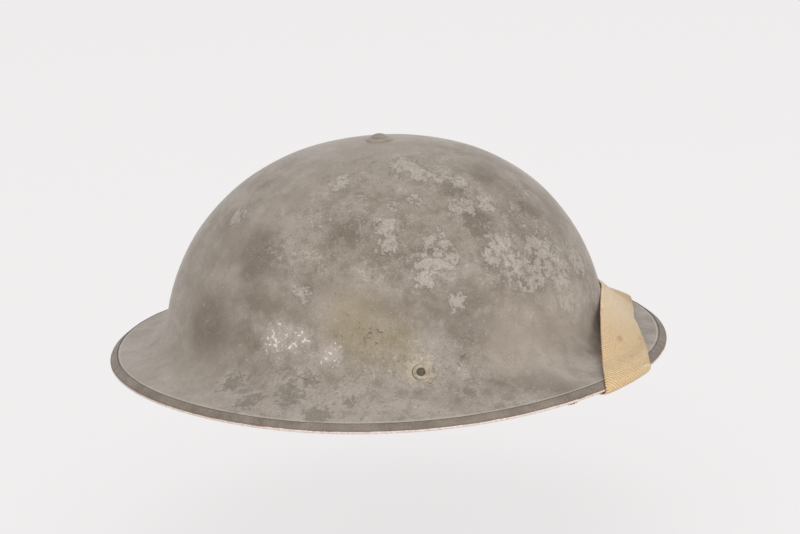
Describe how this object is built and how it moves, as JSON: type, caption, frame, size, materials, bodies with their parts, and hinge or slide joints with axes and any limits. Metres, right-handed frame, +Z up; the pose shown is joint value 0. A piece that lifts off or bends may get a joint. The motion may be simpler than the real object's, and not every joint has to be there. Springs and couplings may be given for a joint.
{
  "type": "steel helmet",
  "caption": "Broad-brimmed steel helmet with an edged bowl shell, a sprung cross liner with oilcloth lining, and a webbing chin strap stowed over the rear of the brim.",
  "frame": {"origin": "middle of the rim, on the plane under the rim's lowest points at the two sides", "axes": "+Z up through the crown fastening, -X towards the front of the helmet, +X towards the rear where the strap is stowed, -Y towards the wearer's left"},
  "size_m": [0.31, 0.2926, 0.1248],
  "materials": {
    "shell_paint": "worn matt brown-drab paint",
    "edging_paint": "worn matt brown-drab paint, rubbed to bare metal along the edge",
    "fitting_paint": "dull paint",
    "rivet_paint": "rubbed paint",
    "liner_steel": "dark japanned",
    "worn_steel": "dull",
    "wire_steel": "dull plated",
    "slide_steel": "dull plated",
    "brass": "tarnished",
    "rubber": "aged matt",
    "felt": "pressed felt",
    "fibre": "vulcanised fibre",
    "oilcloth": "cracked gloss oilcloth",
    "lacing": "braided cotton",
    "webbing": "coarse cotton webbing, stained"
  },
  "bodies": {
    "helmet": {"shell": "shell_paint", "rim_strip": "edging_paint", "crown_screw": "worn_steel", "crown_cup": "edging_paint", "crown_spacer": "rubber", "crown_washer": "worn_steel", "crown_nut": "worn_steel", "crown_pad": "felt", "liner_arm_long": "liner_steel", "liner_arm_cross": "liner_steel", "head_hoop": "fibre", "hoop_rivets": "brass", "sweatband": "oilcloth", "lace": "lacing", "lug_left": "fitting_paint", "lug_right": "fitting_paint", "lug_rivet_left": "rivet_paint", "lug_rivet_right": "rivet_paint", "chin_strap": "webbing", "strap_tip": "brass", "buffer_front": "rubber", "buffer_rear": "rubber", "buffer_left": "rubber", "buffer_right": "rubber", "tongue_1": "oilcloth", "tongue_2": "oilcloth", "tongue_3": "oilcloth", "tongue_4": "oilcloth", "tongue_5": "oilcloth", "tongue_6": "oilcloth", "tongue_7": "oilcloth", "tongue_8": "oilcloth"},
    "loop_left": {"strap_loop_left": "wire_steel"},
    "loop_right": {"strap_loop_right": "wire_steel"},
    "slide": {"strap_slide": "slide_steel"}
  },
  "joints": [
    {"name": "loop_left_swing", "type": "hinge", "parent": "helmet", "child": "loop_left", "pos_m": [0.02788, -0.10597, 0.01859], "axis": [-0.0791, 0.6188, 0.7816], "range_deg": [-12, 55], "deforming": ["chin_strap"]},
    {"name": "loop_right_swing", "type": "hinge", "parent": "helmet", "child": "loop_right", "pos_m": [0.02788, 0.10597, 0.01859], "axis": [0.0791, 0.6188, -0.7816], "range_deg": [-12, 55], "deforming": ["chin_strap"]},
    {"name": "slide_travel", "type": "slide", "parent": "helmet", "child": "slide", "axis": [0.9723, -0.1929, -0.1321], "range_m": [-0.009, 0.009]}
  ]
}
